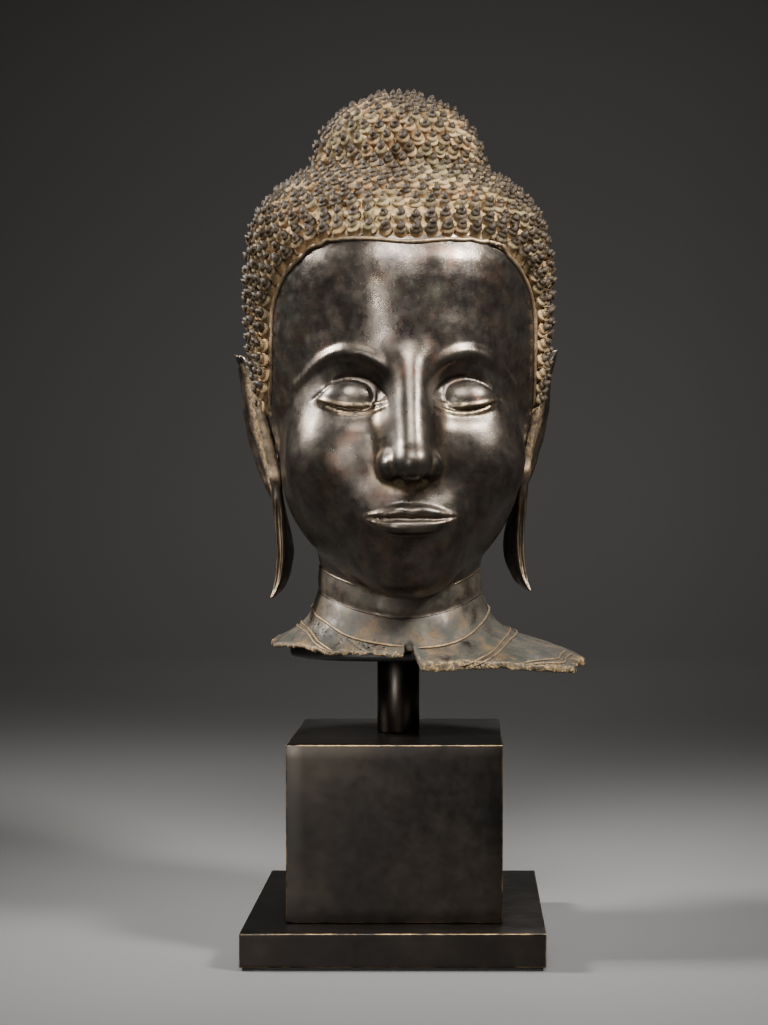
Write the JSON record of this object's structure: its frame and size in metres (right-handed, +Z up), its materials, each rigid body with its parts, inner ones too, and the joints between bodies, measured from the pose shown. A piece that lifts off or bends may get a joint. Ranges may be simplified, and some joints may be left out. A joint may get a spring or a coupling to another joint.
{
  "type": "cast bronze head on a display stand",
  "caption": "Life-size cast bronze head with knobbed curls, long ears and a broken neck flange, on a rod, a cube block and a square plinth.",
  "frame": {"origin": "centre of the pad's underside, on the rod's axis", "axes": "+Z up along the rod, the face looks along -Y and is turned 5.5 degrees towards +X, +X is the viewer's right"},
  "size_m": [0.2098, 0.2372, 0.5098],
  "materials": {
    "head_bronze": "dark brown-black bronze patina, glossy on the face, matt and sandy in the curls",
    "stand_bronze": "dark brown chemically patinated metal, satin, with bright worn edges",
    "black_lacquer": "matt black paint",
    "black_felt": "thin black felt"
  },
  "bodies": {
    "root": {"head_casting": "head_bronze", "neck_insert": "black_lacquer", "support_rod": "stand_bronze", "pedestal_block": "stand_bronze", "plinth_slab": "stand_bronze", "base_pad": "black_felt"}
  },
  "joints": []
}
